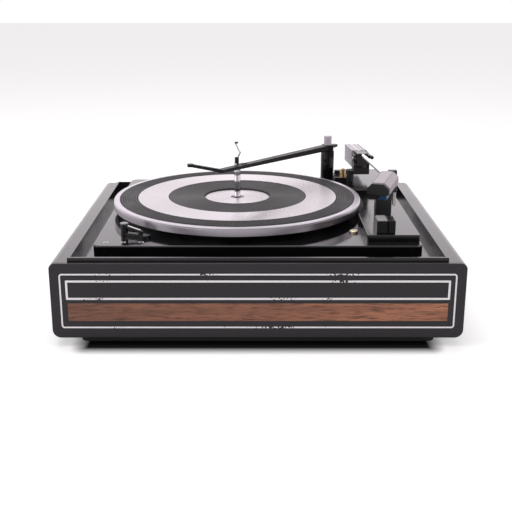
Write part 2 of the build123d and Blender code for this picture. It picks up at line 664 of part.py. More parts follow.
def arm_rest():
    """The tower under the arm tube, with a shallow cradle and ears that hold the clip's pin."""
    half = REST_WIDE / 2
    deep = REST_LONG / 2
    tower_y = (REST_Y - deep, REST_Y + deep)
    tower = block((REST_X - half, REST_X + half), tower_y, (CONSOLE_TOP, REST_SHOULDER), 1.0)
    neck_top = tube_height(REST_Y) - TUBE_RADIUS - 0.4
    neck_y = (REST_Y - 4.0, REST_Y + 4.0)
    tower += block((REST_X - 4.5, REST_X + 4.5), neck_y, (REST_SHOULDER - 1.0, neck_top))
    tower += block((REST_X + 3.2, REST_X + 4.5), neck_y, (neck_top - 1.0, neck_top + 1.5))
    for side in (-1, 1):
        ear_y = sorted((REST_Y + side * (CLIP_WIDE / 2 + 0.3), REST_Y + side * (CLIP_WIDE / 2 + 2.0)))
        ear_x = (REST_X + half - 1.0, CLIP_X + CLIP_THICK)
        tower += block(ear_x, ear_y, (CLIP_PIVOT_Z - 2.2, CLIP_PIVOT_Z + 3.0))
    pin_long = CLIP_WIDE + 4.0
    pin_place = Pos(CLIP_X + CLIP_THICK / 2, REST_Y, CLIP_PIVOT_Z) * Rot(90, 0, 0)
    return tower + pin_place * Cylinder(CLIP_PIN, pin_long)


def tube_height(y):
    """The height of the arm tube's middle line at a place along the changer's depth."""
    along = (ARM_Y - y) / math.cos(math.radians(ARM_HEADING + 90))
    rise = math.radians(ARM_RISE)
    return ARM_Z + along * math.tan(rise) + TUBE_UP / math.cos(rise)


def arm_clip():
    """The upright clip that turns over the tube to lock it."""
    hook_low = tube_height(REST_Y) + TUBE_RADIUS + CLIP_LIFT
    wide = (REST_Y - CLIP_WIDE / 2, REST_Y + CLIP_WIDE / 2)
    clip = block((CLIP_X, CLIP_X + CLIP_THICK), wide, (CLIP_FOOT, hook_low + 1.6))
    clip += block((REST_X + 4.0, CLIP_X + 1.0), wide, (hook_low, hook_low + 1.6))
    middle = CLIP_X + CLIP_THICK / 2
    eye = Pos(middle, REST_Y, CLIP_PIVOT_Z) * Rot(90, 0, 0) * Cylinder(2.2, CLIP_WIDE)
    bore = Pos(middle, REST_Y, CLIP_PIVOT_Z) * Rot(90, 0, 0) * Cylinder(CLIP_PIN + RUNNING, CLIP_WIDE + 2)
    clip += eye & block((CLIP_X - 0.3, CLIP_X + 5.0), wide, (CLIP_PIVOT_Z - 3.0, CLIP_PIVOT_Z + 3.0))
    return clip - bore


def overarm():
    at = (OVERARM_X, OVERARM_Y)
    post = rod(OVERARM_POST, DECK_TOP, OVERARM_POST_TOP, at)
    post += rod(12.0, DECK_TOP, DECK_TOP + 3.0, at)
    post -= rod(OVERARM_ROD + RUNNING, DECK_TOP + 4.0, OVERARM_POST_TOP, at)
    save("overarm_post", post)
    slider = rod(OVERARM_ROD, DECK_TOP + 6.0, OVERARM_POST_TOP + 0.3, at)
    slider += rod(3.0, OVERARM_POST_TOP + 0.3, OVERARM_POST_TOP + 6.0, at)
    save("overarm_rod", slider)
    hub_low = OVERARM_POST_TOP + 0.5
    hub_high = OVERARM_POST_TOP + 8.3
    hub = rod(7.5, hub_low, hub_high, at)
    middle = (OVERARM_X, OVERARM_Y, OVERARM_HIGH)
    long_bar = bar(middle, OVERARM_BEND, (10.0, 6.4), (7.6, 3.4))
    tip_bar = bar(OVERARM_BEND, OVERARM_TIP, (7.6, 3.4), (6.6, 3.0))
    joint = Pos(*OVERARM_BEND) * Cylinder(3.8, 3.3)
    tip = Pos(*OVERARM_TIP) * Cylinder(3.3, 3.0)
    away = Vector(*middle) - Vector(*OVERARM_BEND)
    tail_start = Vector(OVERARM_X, OVERARM_Y, OVERARM_HIGH - 0.2)
    tail_end = tail_start + Vector(away.X, away.Y, 0).normalized() * OVERARM_TAIL
    tail = bar(tuple(tail_start), tuple(tail_end), (7.0, 3.2), (6.0, 3.2))
    side = Vector(0, 0, 1).cross(away).normalized()
    near = Vector(*OVERARM_BEND) + away * 0.19
    pad = bar(tuple(near - side * 1.0), tuple(near + side * 4.0), (7.0, 5.6), (6.0, 5.2))
    whole = hub + long_bar + tip_bar + joint + tip + tail + pad
    whole -= rod(3.0 + RUNNING, hub_low, hub_high, at)
    save("overarm", whole)
    cap = rod(CAP_RADIUS, hub_high, CAP_TOP, at)
    cap = fillet(cap.faces().sort_by(Axis.Z)[-1].edges(), 0.8)
    for turn in range(0, 360, 20):
        cap -= rod(0.5, hub_high + 1.5, CAP_TOP, beside(at, CAP_RADIUS + 0.1, turn))
    save("overarm_cap", cap)


SWING_PLACE = Pos(ARM_X, ARM_Y, ARM_Z) * Rot(0, 0, ARM_HEADING)
TILT_PLACE = SWING_PLACE * Rot(0, -ARM_RISE, 0)


def along_arm(radius, start, end, up, place):
    """A round bar along the arm, at a height above the tilt axis."""
    return place * Pos((start + end) / 2, 0, up) * Rot(0, 90, 0) * Cylinder(radius, end - start)


def tonearm_base():
    base = block((94.0, CONSOLE_LEFT - 0.4), (98.0, 128.0), (DECK_TOP, CONSOLE_STEP_TOP), 2.0)
    shelf_x = (CONSOLE_LEFT - 4.0, CONSOLE_STEP_LEFT - 0.3)
    base += block(shelf_x, (98.0, 128.0), (CONSOLE_TOP, CONSOLE_STEP_TOP))
    base -= rod(PLATTER_RADIUS + PLATTER_ROOM, DECK_TOP, CONSOLE_STEP_TOP, PLATTER)
    column = rod(PILLAR_RADIUS, CONSOLE_TOP, ARM_Z + YOKE_LOW - 2.3, PILLAR, 3.0 + RUNNING)
    save("tonearm_base", base, column)
    save("cue_post", rod(3.8, CONSOLE_STEP_TOP, CUE_TOP, CUE_AT))
    collar = rod(3.6, CONSOLE_STEP_TOP, CONSOLE_STEP_TOP + 4.0, COLLAR_AT, 1.6)
    sleeve = rod(3.0, CONSOLE_STEP_TOP + 4.0, CONSOLE_STEP_TOP + 8.6, COLLAR_AT, 1.6)
    save("cue_sleeve", collar, sleeve)


def yoke():
    floor_low = ARM_Z + YOKE_LOW
    shape = rod(5.6, floor_low - 2.0, floor_low + 3.0, PILLAR)
    shape += rod(3.0, floor_low - 12.0, floor_low - 2.0, PILLAR)
    ear_high = 6.0 - YOKE_LOW
    for side in (-1, 1):
        y = side * (EAR_GAP + EAR_THICK / 2)
        shape += SWING_PLACE * Pos(0, y, YOKE_LOW + ear_high / 2) * Box(16.0, EAR_THICK, ear_high)
    shape += SWING_PLACE * Pos(0, 0, YOKE_LOW + YOKE_FLOOR / 2) * Box(16.0, 2 * EAR_GAP, YOKE_FLOOR)
    shape += SWING_PLACE * Pos(-3.0, -EAR_GAP, YOKE_LOW + 1.5) * Box(10.0, 9.0, 3.0)
    for side in (-1, 1):
        shape -= SWING_PLACE * Pos(0, side * (EAR_GAP + 1), 0) * Rot(90, 0, 0) * Cylinder(1.5, 6.0)
    save("tonearm_yoke", shape)
    screws = []
    for side in (-1, 1):
        pin = Pos(0, side * (EAR_GAP - 0.2), 0) * Rot(90, 0, 0) * Cylinder(1.5, 4.0)
        head = Pos(0, side * (EAR_GAP + EAR_THICK + 0.6), 0) * Rot(90, 0, 0) * Cylinder(2.8, 1.2)
        screws.append(SWING_PLACE * (pin + head))
    save("pivot_screws", *screws)
    ear_out = EAR_GAP + EAR_THICK
    wire = along_arm(0.9, -40.0, 8.6, 4.5, SWING_PLACE * Pos(0, ear_out + 1.6, 0))
    grip = along_arm(2.1, 8.4, 15.0, 4.5, SWING_PLACE * Pos(0, ear_out + 1.6, 0))
    bracket = SWING_PLACE * Pos(0, ear_out + 0.4, 4.5) * Box(5.0, 0.8, 3.0)
    save("bias_lever", wire + grip + bracket)


def tonearm():
    housing = TILT_PLACE * Pos(1.5, 0, 1.5) * Box(24.0, 2 * HOUSING_HALF, 14.0)
    for side in (-1, 1):
        socket_at = TILT_PLACE * Pos(0, side * HOUSING_HALF, 0)
        housing -= socket_at * Rot(90, 0, 0) * Cylinder(1.5 + RUNNING, 2.0)
    housing += along_arm(REAR_ROD, WEIGHT_BACK + 1.0, -10.0, 0.0, TILT_PLACE)
    save("arm_housing", housing)
    save("arm_tube", along_arm(TUBE_RADIUS, 13.5, HEAD_START, TUBE_UP, TILT_PLACE))
    weight_long = WEIGHT_FRONT - WEIGHT_BACK
    weight_mid = (WEIGHT_FRONT + WEIGHT_BACK) / 2
    weight = TILT_PLACE * Pos(weight_mid, 0, -1.5) * Box(weight_long, WEIGHT_WIDE, 19.5)
    weight -= along_arm(REAR_ROD + RUNNING, WEIGHT_BACK - 1, WEIGHT_FRONT + 1, 0.0, TILT_PLACE)
    for y in WEIGHT_RIBS:
        weight += TILT_PLACE * Pos(weight_mid, y, 8.25) * Box(weight_long, 2.0, 1.4)
    save("counterweight", weight)


HEAD_PLACE = TILT_PLACE * Pos(HEAD_START, 0, TUBE_UP) * Rot(0, 0, HEAD_TURN) * Rot(0, HEAD_DIP, 0)


def head_section(grow, low, ridge):
    """The headshell's outline across its length: upright sides and a raised flat ridge."""
    half = HEAD_HALF + grow
    shoulder = HEAD_SHOULDER + grow
    top = HEAD_TOP_UP + grow
    points = [(-half, low), (half, low), (half, shoulder), (ridge, top), (-ridge, top), (-half, shoulder)]
    return make_face(Polyline(*points, close=True))


def headshell():
    across = Plane(origin=(-4.0, 0, 0), x_dir=(0, 1, 0), z_dir=(1, 0, 0))
    shell = extrude(across * head_section(0.0, -7.0, HEAD_RIDGE), HEAD_LONG)
    face = Plane(origin=(HEAD_LONG - 4.0, 0, 0), x_dir=(0, 1, 0), z_dir=(1, 0, 0))
    inside = Plane(origin=(2.0, 0, 0), x_dir=(0, 1, 0), z_dir=(1, 0, 0))
    shell -= extrude(inside * head_section(-HEAD_SKIN, -9.0, HEAD_RIDGE - 0.6), HEAD_LONG)
    for side in (-1, 1):
        shell -= Pos(11.0, side * (HEAD_RIDGE - 0.2), HEAD_TOP_UP) * Box(HEAD_LONG + 2, 0.8, 0.8)
    shell = HEAD_PLACE * shell
    shell -= along_arm(TUBE_RADIUS, 100.0, HEAD_START, TUBE_UP, TILT_PLACE)
    save("headshell", shell)
    body = HEAD_PLACE * extrude(face * head_section(0.0, -6.8, HEAD_RIDGE), HEAD_FRONT)
    body += HEAD_PLACE * Pos(19.0, 0, -4.6) * Box(21.0, 16.0, 9.0)
    body += HEAD_PLACE * Pos(23.0, -6.0, -10.8) * Box(13.0, 9.0, 5.0)
    save("cartridge", body)
    holder = HEAD_PLACE * Pos(22.0, 3.2, -11.4) * Box(11.0, 8.0, 4.6)
    holder += HEAD_PLACE * Pos(23.0, 2.6, -15.3) * Cone(0.4, 1.6, 3.4)
    save("stylus", holder)


def main():
    os.makedirs("parts", exist_ok=True)
    plinth()
    base_and_feet()
    rear_fittings()
    deck_springs()
    deck()
    motor()
    idler()
    cycle_gears()
    plate_studs()
    platter()
    spindle()
    save("side_console", side_console())
    levers()
    speed_lever()
    save("arm_rest", arm_rest())
    save("arm_clip", arm_clip())
    overarm()
    tonearm_base()
    yoke()
    tonearm()
    headshell()


main()
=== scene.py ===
# %% [markdown]
# A record changer in a low black plinth: a spindle that holds a stack of records, an arm that steadies
# the stack, a tonearm parked on its rest and a heavy platter with rings of rubber and spun aluminium.
# The shapes come from the CAD frame. This lesson gives them their finishes, adds the few pieces that
# are quicker to make in Blender, and sets up a small white studio.

# %% Load the frame
import math

import bpy
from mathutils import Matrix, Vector


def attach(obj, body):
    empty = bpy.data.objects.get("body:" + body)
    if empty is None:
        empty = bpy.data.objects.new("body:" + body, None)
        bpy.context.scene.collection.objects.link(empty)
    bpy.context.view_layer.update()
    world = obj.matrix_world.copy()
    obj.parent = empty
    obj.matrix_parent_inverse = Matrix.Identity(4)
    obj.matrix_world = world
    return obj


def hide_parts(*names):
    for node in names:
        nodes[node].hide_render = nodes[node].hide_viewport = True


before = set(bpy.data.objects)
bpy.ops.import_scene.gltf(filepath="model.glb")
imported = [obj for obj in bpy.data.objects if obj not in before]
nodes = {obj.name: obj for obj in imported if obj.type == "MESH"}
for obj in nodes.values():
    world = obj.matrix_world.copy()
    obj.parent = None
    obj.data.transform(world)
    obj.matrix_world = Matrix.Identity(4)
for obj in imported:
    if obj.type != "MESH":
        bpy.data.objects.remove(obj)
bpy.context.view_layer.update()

# %% [markdown]
# The camera comes first, because every finish is judged through it. It stands almost in front of the
# changer, a little above it, and looks down by about seventeen degrees with a medium telephoto lens.
# The small shift puts the lens axis where the picture has it.

# %% Camera
IMAGE_WIDTH = 512
SENSOR = 36.0
FOCAL_PIXELS = 895.0
CAMERA_PLACE = (-0.0032, -0.9728, 0.3415)
LOOK_DOWN = 17.4
AXIS_PIXEL = 254.6
NEAR_CLIP = 0.01

camera_data = bpy.data.cameras.new("picture_camera")
camera_data.sensor_width = SENSOR
camera_data.lens = FOCAL_PIXELS / IMAGE_WIDTH * SENSOR
camera_data.shift_x = (IMAGE_WIDTH / 2 - AXIS_PIXEL) / IMAGE_WIDTH
camera_data.clip_start = NEAR_CLIP
camera = bpy.data.objects.new("picture_camera", camera_data)
camera.location = CAMERA_PLACE
camera.rotation_euler = (math.radians(90.0 - LOOK_DOWN), 0.0, 0.0)
bpy.context.scene.collection.objects.link(camera)
bpy.context.scene.camera = camera
print("lens, mm:", round(camera_data.lens, 2))

# %% [markdown]
# A few small helpers keep the node trees readable. One makes a node and fills its sockets, where a value
# may be a number or another node's output. The others do one step of arithmetic, mix two colours, take
# a value from one range to another, and make or place a shader group.


# %% Node helpers
def fill(tree, socket, value):
    """Links a socket, or writes a plain value into it."""
    if isinstance(value, bpy.types.NodeSocket):
        tree.links.new(value, socket)
    else:
        socket.default_value = value


def add(tree, kind, inputs=None, **settings):
    """Makes a node, sets its options and fills its inputs by name or by number."""
    made = tree.nodes.new(kind)
    for option, value in settings.items():
        setattr(made, option, value)
    for name, value in (inputs or {}).items():
        fill(tree, made.inputs[name], value)
    return made


def maths(tree, operation, first, second=0.0, clamp=False):
    """One step of arithmetic; the result is a socket."""
    kind = "ShaderNodeMath"
    return add(tree, kind, {0: first, 1: second}, operation=operation, use_clamp=clamp).outputs[0]


def blend_colours(tree, factor, first, second):
    """A mix of two colours by a mask."""
    mixed = add(tree, "ShaderNodeMix", {0: factor, 6: first, 7: second}, data_type="RGBA")
    return mixed.outputs[2]


def ramp(tree, value, low, high, low_out=0.0, high_out=1.0):
    """A value taken from one range to another, clamped at both ends."""
    sockets = {"Value": value, 1: low, 2: high, 3: low_out, 4: high_out}
    return add(tree, "ShaderNodeMapRange", sockets).outputs[0]


def new_group(name, inputs, outputs):
    """An empty shader group with named sockets; inputs give a default each."""
    group = bpy.data.node_groups.new(name, "ShaderNodeTree")
    for label, default in inputs.items():
        kind = "NodeSocketColor" if isinstance(default, tuple) else "NodeSocketFloat"
        socket = group.interface.new_socket(label, in_out="INPUT", socket_type=kind)
        socket.default_value = default
    for label, kind in outputs.items():
        group.interface.new_socket(label, in_out="OUTPUT", socket_type=kind)
    return group, group.nodes.new("NodeGroupInput").outputs, group.nodes.new("NodeGroupOutput").inputs


def place_group(tree, group, **values):
    """Places a group in a material; names use an underscore for a space."""
    made = tree.nodes.new("ShaderNodeGroup")
    made.node_tree = group
    for label, value in values.items():
        fill(tree, made.inputs[label.replace("_", " ")], value)
    return made.outputs


# %% [markdown]
# Black gloss plastic is never quite even. Fingers leave soft cloudy patches where the shine is duller,
# and cleaning leaves fine scratches. Both could be painted, but a group of two noise textures gives
# every glossy part its own marks, and it only puts out a mask that each material uses in its own way.

# %% Handling marks
CLOUDY = (0.42, 0.7)
SCRATCHED = (0.6, 0.72)
SCRATCH_DEPTH = 0.6
SCRATCH_STRETCH = (1.0, 0.08, 0.3)

marks, marks_in, marks_out = new_group(
    "handling_marks", {"Patch Scale": 30.0, "Scratch Scale": 400.0}, {"Marks": "NodeSocketFloat"},
)
marks_place = add(marks, "ShaderNodeTexCoord").outputs["Object"]
patches = add(marks, "ShaderNodeTexNoise", {
    "Vector": marks_place, "Scale": marks_in["Patch Scale"], "Detail": 5.0, "Roughness": 0.6,
}).outputs[0]
stretched = add(marks, "ShaderNodeMapping", {"Vector": marks_place, "Scale": SCRATCH_STRETCH}).outputs[0]
scratches = add(marks, "ShaderNodeTexNoise", {
    "Vector": stretched, "Scale": marks_in["Scratch Scale"], "Detail": 2.0, "Roughness": 0.5,
}).outputs[0]
cloudy = ramp(marks, patches, *CLOUDY)
scratched = ramp(marks, scratches, *SCRATCHED, 0.0, SCRATCH_DEPTH)
fill(marks, marks_out["Marks"], maths(marks, "MAXIMUM", cloudy, scratched))
print("group:", marks.name)

# %% [markdown]
# Dust settles on faces that look up. The group compares the surface's normal with the vertical and
# breaks the layer up with noise. It puts out a colour and a mask, so that the dust can also take away
# some of the shine.

# %% Settled dust
FACING_UP = (0.3, 1.0)
SPECKLED = (0.45, 0.75)

dust, dust_in, dust_out = new_group(
    "settled_dust",
    {
        "Colour": (0.02, 0.02, 0.02, 1.0), "Dust Colour": (0.35, 0.33, 0.31, 1.0), "Amount": 0.1,
        "Scale": 90.0,
    },
    {"Colour": "NodeSocketColor", "Mask": "NodeSocketFloat"},
)
dust_place = add(dust, "ShaderNodeTexCoord").outputs["Object"]
upward = add(dust, "ShaderNodeSeparateXYZ", {0: add(dust, "ShaderNodeNewGeometry").outputs["Normal"]})
specks = add(dust, "ShaderNodeTexNoise", {
    "Vector": dust_place, "Scale": dust_in["Scale"], "Detail": 8.0, "Roughness": 0.75,
}).outputs[0]
facing_up = ramp(dust, upward.outputs[2], *FACING_UP)
speckled = ramp(dust, specks, *SPECKLED)
lying = maths(dust, "MULTIPLY", facing_up, speckled)
dust_mask = maths(dust, "MULTIPLY", lying, dust_in["Amount"], clamp=True)
fill(dust, dust_out["Colour"], blend_colours(dust, dust_mask, dust_in["Colour"], dust_in["Dust Colour"]))
fill(dust, dust_out["Mask"], dust_mask)
print("group:", dust.name)

# %% [markdown]
# The platter, its aluminium ring and the centre disc were turned on a lathe, which leaves fine circles
# about the spindle. The group measures the distance from the axis and reads a noise texture along
# that one number, so the lines run round and never across.

# %% Turned lines
SPINDLE_PLACE = (-0.0225, 0.0025)

turned, turned_in, turned_out = new_group(
    "turned_lines",
    {"Centre X": SPINDLE_PLACE[0], "Centre Y": SPINDLE_PLACE[1], "Lines Per Metre": 3000.0},
    {"Lines": "NodeSocketFloat"},
)
turned_place = add(turned, "ShaderNodeSeparateXYZ", {
    0: add(turned, "ShaderNodeTexCoord").outputs["Object"],
})
from_x = maths(turned, "SUBTRACT", turned_place.outputs[0], turned_in["Centre X"])
from_y = maths(turned, "SUBTRACT", turned_place.outputs[1], turned_in["Centre Y"])
square_x = maths(turned, "MULTIPLY", from_x, from_x)
square_y = maths(turned, "MULTIPLY", from_y, from_y)
radius = maths(turned, "SQRT", maths(turned, "ADD", square_x, square_y))
along_radius = maths(turned, "MULTIPLY", radius, turned_in["Lines Per Metre"])
lines = add(turned, "ShaderNodeTexNoise", {
    "W": along_radius, "Scale": 1.0, "Detail": 2.0,
}, noise_dimensions="1D")
fill(turned, turned_out["Lines"], lines.outputs[0])
print("group:", turned.name)

# %% [markdown]
# Moulded plastic and rubber have a fine grain from the tool, and paint has a faint orange peel. One
# group gives that height for all of them; each material sends it through its own Bump node.

# %% Surface grain
grain, grain_in, grain_out = new_group("surface_grain", {"Scale": 2000.0}, {"Height": "NodeSocketFloat"})
grain_place = add(grain, "ShaderNodeTexCoord").outputs["Object"]
pebbles = add(grain, "ShaderNodeTexVoronoi", {"Vector": grain_place, "Scale": grain_in["Scale"]})
softer = add(grain, "ShaderNodeTexNoise", {
    "Vector": grain_place, "Scale": grain_in["Scale"], "Detail": 3.0,
})
fill(grain, grain_out["Height"], maths(grain, "ADD", pebbles.outputs[0], softer.outputs[0]))
print("group:", grain.name)

# %% [markdown]
# Most finishes here are one recipe with other numbers: a base colour, a roughness that the handling
# marks disturb, a little dust and a fine grain. Writing it once keeps the parts related, as parts of
# one product are, while the numbers keep the gloss enamel, satin mouldings, rubber and metals apart.

# %% A plain finish
BUMP_DISTANCE = 0.0002
DULLED_BY_DUST = 0.5


def new_material(name):
    """A material with only its Principled shader and output."""
    material = bpy.data.materials.new(name)
    material.use_nodes = True
    tree = material.node_tree
    shader = tree.nodes["Principled BSDF"]
    return material, tree, shader


def emboss(tree, shader, height, strength):
    """Sends a height through a Bump node to the shader."""
    bump = add(tree, "ShaderNodeBump", {"Height": height, "Strength": strength, "Distance": BUMP_DISTANCE})
    fill(tree, shader.inputs["Normal"], bump.outputs[0])


def finish(name, colour, rough, rough_marked, metal=0.0, dust_amount=0.06, patch=30.0, grain_scale=2000.0,
           grain_depth=0.1, specular=0.5, tint=0.0):
    """One moulded, painted or plated finish."""
    material, tree, shader = new_material(name)
    base = (*colour, 1.0)
    marked = place_group(tree, marks, Patch_Scale=patch)["Marks"]
    if tint:
        lighter = tuple(min(channel * (1.0 + tint), 1.0) for channel in colour) + (1.0,)
        base = blend_colours(tree, marked, base, lighter)
    settled = place_group(tree, dust, Colour=base, Amount=dust_amount)
    fill(tree, shader.inputs["Base Color"], settled["Colour"])
    worn = ramp(tree, marked, 0.0, 1.0, rough, rough_marked)
    duller = maths(tree, "MULTIPLY", settled["Mask"], DULLED_BY_DUST)
    fill(tree, shader.inputs["Roughness"], maths(tree, "ADD", worn, duller, clamp=True))
    shader.inputs["Metallic"].default_value = metal
    shader.inputs["Specular IOR Level"].default_value = specular
    emboss(tree, shader, place_group(tree, grain, Scale=grain_scale)["Height"], grain_depth)
    return material


def wear(material, *names):
    """Gives CAD nodes a finish."""
    for name in names:
        mesh = nodes[name].data
        mesh.materials.clear()
        mesh.materials.append(material)
    print(material.name, "on", len(names), "nodes")


# %% Black finishes
gloss_black = finish("gloss_black", (0.008, 0.0078, 0.0085), 0.10, 0.2, dust_amount=0.03, grain_depth=0.02)
wear(gloss_black, "plinth_shell", "spindle_head", "side_console", "overarm_post", "cue_post")
enamel = finish("deck_enamel", (0.005, 0.005, 0.0055), 0.07, 0.14, dust_amount=0.015, grain_scale=500.0,
                grain_depth=0.03)
wear(enamel, "mainplate")
satin_black = finish("satin_black", (0.010, 0.0092, 0.0102), 0.26, 0.4, dust_amount=0.02, grain_depth=0.06)
wear(satin_black, "arm_rest", "tonearm_yoke", "bias_lever", "arm_housing", "tonearm_base", "cartridge")
lever_black = finish("lever_black", (0.004, 0.0038, 0.0042), 0.12, 0.24, dust_amount=0.0,
                     grain_depth=0.02, specular=0.2)
wear(lever_black, "function_lever", "size_lever")
arm_black = finish("overarm_black", (0.006, 0.0055, 0.006), 0.4, 0.5, dust_amount=0.02, specular=0.25)
wear(arm_black, "overarm")
fascia_black = finish("fascia_black", (0.0155, 0.0128, 0.0158), 0.3, 0.42, dust_amount=0.02, patch=14.0,
                      grain_scale=1400.0, grain_depth=0.16)
wear(fascia_black, "front_fascia")
insert_black = finish("insert_black", (0.0155, 0.0135, 0.0155), 0.42, 0.52, dust_amount=0.0, patch=10.0,
                      grain_depth=0.2)
wear(insert_black, "panel_insert")

# %% [markdown]
# Two small parts change colour along their height: the speed lever is black up to the grey top of its
# knob, and the clip of the arm rest is white up to its black hook. The clip's white is a painted
# highlight that stands in for the shine of polished metal. The height in the object's own coordinates
# makes the mask, so the colours stay on the part when it moves.


# %% Two colours by height
KNOB_TOP_FROM = 0.1026
HOOK_FROM = 0.1355
TWO_TONE_MARKED = 0.1


def two_tone(name, lower, upper, height, rough):
    """A moulding with one colour below a height and another above it."""
    material = finish(name, lower, rough, rough + TWO_TONE_MARKED, dust_amount=0.0)
    tree = material.node_tree
    place = add(tree, "ShaderNodeSeparateXYZ", {0: add(tree, "ShaderNodeTexCoord").outputs["Object"]})
    above = maths(tree, "GREATER_THAN", place.outputs[2], height)
    colour = blend_colours(tree, above, (*lower, 1.0), (*upper, 1.0))
    fill(tree, tree.nodes["Principled BSDF"].inputs["Base Color"], colour)
    return material


lever_tones = two_tone("speed_lever", (0.005, 0.005, 0.005), (0.16, 0.155, 0.16), KNOB_TOP_FROM, 0.2)
wear(lever_tones, "speed_lever")
# The clip's white below its black hook is a painted highlight for the shine of polished metal.
clip_painted_highlight = two_tone("arm_clip", (0.86, 0.84, 0.83), (0.014, 0.014, 0.014), HOOK_FROM, 0.35)
wear(clip_painted_highlight, "arm_clip")

# %% Rubber, board and nylon
rubber = finish("rubber_feet", (0.018, 0.018, 0.018), 0.62, 0.75, dust_amount=0.15, grain_depth=0.4)
wear(rubber, "feet", "mains_gland", "motor_mounts", "idler_tyre")
board = finish("painted_board", (0.016, 0.0155, 0.0155), 0.6, 0.72, dust_amount=0.0, grain_scale=700.0,
               grain_depth=0.6)
wear(board, "base_board", "rear_socket_plate")
nylon = finish("white_nylon", (0.72, 0.69, 0.62), 0.4, 0.5, grain_depth=0.1)
wear(nylon, "hub_pinion", "cam_gear", "thrust_washer")
white_moulding = finish("white_moulding", (0.9, 0.89, 0.88), 0.35, 0.45, dust_amount=0.02)
wear(white_moulding, "speed_pointer")
grey_moulding = finish("grey_moulding", (0.34, 0.33, 0.34), 0.35, 0.46, tint=0.15)
wear(grey_moulding, "function_plate")
blue = finish("blue_moulding", (0.012, 0.07, 0.17), 0.22, 0.3, dust_amount=0.03)
wear(blue, "stylus")

# %% Metals
chrome = finish("chrome_plate", (0.78, 0.78, 0.8), 0.06, 0.14, metal=1.0, dust_amount=0.02, grain_depth=0.0)
wear(chrome, "spindle_shaft", "spindle_finger", "overarm_rod")
steel = finish("plated_steel", (0.5, 0.49, 0.48), 0.3, 0.45, metal=1.0, dust_amount=0.04, grain_depth=0.1)
wear(steel, "base_screws", "signal_sockets", "bearing_post", "motor_stack", "plate_studs", "idler_arm",
     "idler_wheel", "drop_blade", "pivot_screws", "deck_springs")
brass = finish("brass", (0.62, 0.43, 0.2), 0.25, 0.42, metal=1.0, dust_amount=0.04, tint=0.2)
wear(brass, "cue_sleeve", "motor_pulley")
pale_brass = finish("passivated_screw", (0.78, 0.68, 0.5), 0.3, 0.45, metal=0.8, dust_amount=0.1, tint=0.1)
wear(pale_brass, "transit_screws")
copper = finish("enamelled_copper", (0.42, 0.17, 0.08), 0.35, 0.5, metal=0.6, grain_scale=900.0,
                grain_depth=0.5)
wear(copper, "motor_coil")
head_silver = finish("head_silver", (0.34, 0.315, 0.335), 0.3, 0.42, metal=0.8, dust_amount=0.03, tint=0.1)
wear(head_silver, "headshell")
weight_silver = finish("weight_silver", (0.5, 0.465, 0.5), 0.34, 0.46, metal=0.6, dust_amount=0.05,
                       tint=0.1)
wear(weight_silver, "counterweight")
cap_silver = finish("cap_silver", (0.68, 0.63, 0.67), 0.36, 0.46, metal=0.5, dust_amount=0.03)
wear(cap_silver, "overarm_cap")

# %% [markdown]
# Spun aluminium shines in bright fans that meet at the centre, because the lathe's grooves scatter the
# light across themselves. Principled's anisotropy does that when its tangent runs round the axis, and
# the turned lines add the visible circles.


# %% Spun aluminium
SPUN_MARKED = 0.03


def spun(name, colour, rough, stretch, line_depth, line_shade, lines_per_metre):
    """Turned metal with circles about the spindle and fans of light."""
    material, tree, shader = new_material(name)
    line = place_group(tree, turned, Lines_Per_Metre=lines_per_metre)["Lines"]
    darker = tuple(channel * line_shade for channel in colour) + (1.0,)
    shaded = blend_colours(tree, ramp(tree, line, 0.3, 0.7), darker, (*colour, 1.0))
    settled = place_group(tree, dust, Colour=shaded, Amount=0.04)
    fill(tree, shader.inputs["Base Color"], settled["Colour"])
    marked = place_group(tree, marks, Patch_Scale=22.0)["Marks"]
    fill(tree, shader.inputs["Roughness"], ramp(tree, marked, 0.0, 1.0, rough, rough + SPUN_MARKED))
    shader.inputs["Metallic"].default_value = 1.0
    shader.inputs["Anisotropic"].default_value = stretch
    tangent = add(tree, "ShaderNodeTangent", direction_type="RADIAL", axis="Z")
    fill(tree, shader.inputs["Tangent"], tangent.outputs[0])
    emboss(tree, shader, line, line_depth)
    return material


ring_metal = spun("spun_ring", (0.55, 0.52, 0.54), 0.27, 0.85, 0.04, 0.8, 2600.0)
wear(ring_metal, "centre_disc")
platter_metal = spun("turned_platter", (0.54, 0.51, 0.55), 0.32, 0.4, 0.1, 0.88, 1500.0)
wear(platter_metal, "platter")
tube_metal = finish("arm_tube_silver", (0.8, 0.79, 0.78), 0.2, 0.32, metal=1.0, dust_amount=0.03)
wear(tube_metal, "arm_tube")

# %% [markdown]
# The front strip is a printed walnut: long dark streaks in a brown ground, with finer fibres between
# them. Noise that is stretched along the strip gives the fibres. Wider noise, stretched less, gives the
# streaks and the broad dark patches. The strip turns a little paler towards the right end.


# %% Walnut
WALNUT_HALF = 0.18
WALNUT_LEFT = (0.25, 0.1, 0.06, 1.0)
WALNUT_RIGHT = (0.56, 0.225, 0.12, 1.0)
WALNUT_PATCH = (0.13, 0.055, 0.032, 1.0)
WALNUT_STREAK = (0.05, 0.02, 0.013, 1.0)
WALNUT_FIBRE = (0.42, 0.19, 0.11, 1.0)
FIBRE_DEPTH = 0.12


